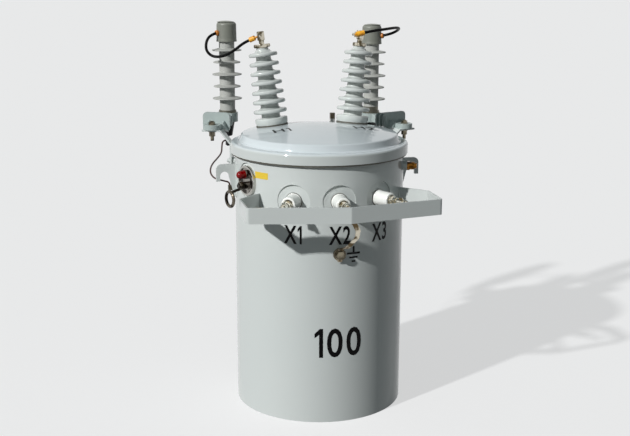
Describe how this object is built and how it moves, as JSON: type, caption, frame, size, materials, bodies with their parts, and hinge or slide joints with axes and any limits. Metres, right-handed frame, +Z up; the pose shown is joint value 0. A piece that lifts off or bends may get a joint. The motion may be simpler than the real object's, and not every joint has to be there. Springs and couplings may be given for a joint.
{
  "type": "pole mounted transformer",
  "caption": "Round steel tank transformer with domed lid, ribbed high-voltage bushings, surge arresters, guarded low-voltage bushings and a ring handled breaker.",
  "frame": {"origin": "on the tank's axis, at the level of the tank's foot", "axes": "+Z up, -Y the front with the low-voltage bushings, +Y towards the pole, +X to the right seen from the front"},
  "size_m": [0.8152, 0.8428, 1.3692],
  "materials": {
    "tank_paint": "light grey enamel, semi gloss",
    "gasket_rubber": "black nitrile",
    "hv_porcelain": "light grey glaze",
    "lv_porcelain": "white glaze",
    "terminal_metal": "tinned bronze",
    "arrester_polymer": "grey polymer",
    "arrester_cap_plastic": "grey moulded",
    "bracket_plastic": "grey moulded",
    "disconnector_plastic": "black moulded",
    "zinc_steel": "zinc plated",
    "lead_rubber": "black cable cover",
    "sleeve_plastic": "yellow heat shrink",
    "wire_insulation": "brown insulation",
    "tinned_copper": "tinned copper",
    "valve_brass": "plain brass",
    "fitting_chrome": "bright chrome",
    "lamp_lens": "red lens"
  },
  "bodies": {
    "transformer": {"tank_wall": "tank_paint", "tank_bottom": "tank_paint", "lid": "tank_paint", "lid_clamp_bolt": "tank_paint", "lv_guard": "tank_paint", "arrester_strap_left": "tank_paint", "arrester_strap_right": "tank_paint", "lifting_lug_left": "tank_paint", "lifting_lug_right": "tank_paint", "relief_valve_coupling": "tank_paint", "pole_hanger_lower": "tank_paint", "pole_hanger_upper": "tank_paint", "lid_gasket": "gasket_rubber", "hv_gasket_left": "gasket_rubber", "hv_gasket_right": "gasket_rubber", "hv_bushing_left": "hv_porcelain", "hv_bushing_right": "hv_porcelain", "lv_bushing_1": "lv_porcelain", "lv_bushing_2": "lv_porcelain", "lv_bushing_3": "lv_porcelain", "hv_terminal_left": "terminal_metal", "hv_terminal_right": "terminal_metal", "lv_terminal_1": "terminal_metal", "lv_terminal_2": "terminal_metal", "lv_terminal_3": "terminal_metal", "arrester_left": "arrester_polymer", "arrester_right": "arrester_polymer", "arrester_cap_left": "arrester_cap_plastic", "arrester_cap_right": "arrester_cap_plastic", "arrester_bracket_left": "bracket_plastic", "arrester_bracket_right": "bracket_plastic", "disconnector_left": "disconnector_plastic", "disconnector_right": "disconnector_plastic", "strap_bolt_left": "zinc_steel", "strap_bolt_right": "zinc_steel", "ground_bolt": "zinc_steel", "ground_wire_clamp": "zinc_steel", "hv_lead_left": "lead_rubber", "hv_lead_right": "lead_rubber", "hv_lead_end_left": "sleeve_plastic", "hv_lead_end_right": "sleeve_plastic", "ground_wire": "wire_insulation", "ground_strap": "tinned_copper", "relief_valve": "valve_brass", "breaker_plate": "fitting_chrome", "breaker_lamp": "lamp_lens"},
    "breaker_handle": {"breaker_handle": "fitting_chrome"}
  },
  "joints": [
    {"name": "breaker_turn", "type": "hinge", "parent": "transformer", "child": "breaker_handle", "pos_m": [-0.30486, -0.12666, 0.831], "axis": [-0.9336, -0.3584, 0], "range_deg": [-30, 75]}
  ]
}
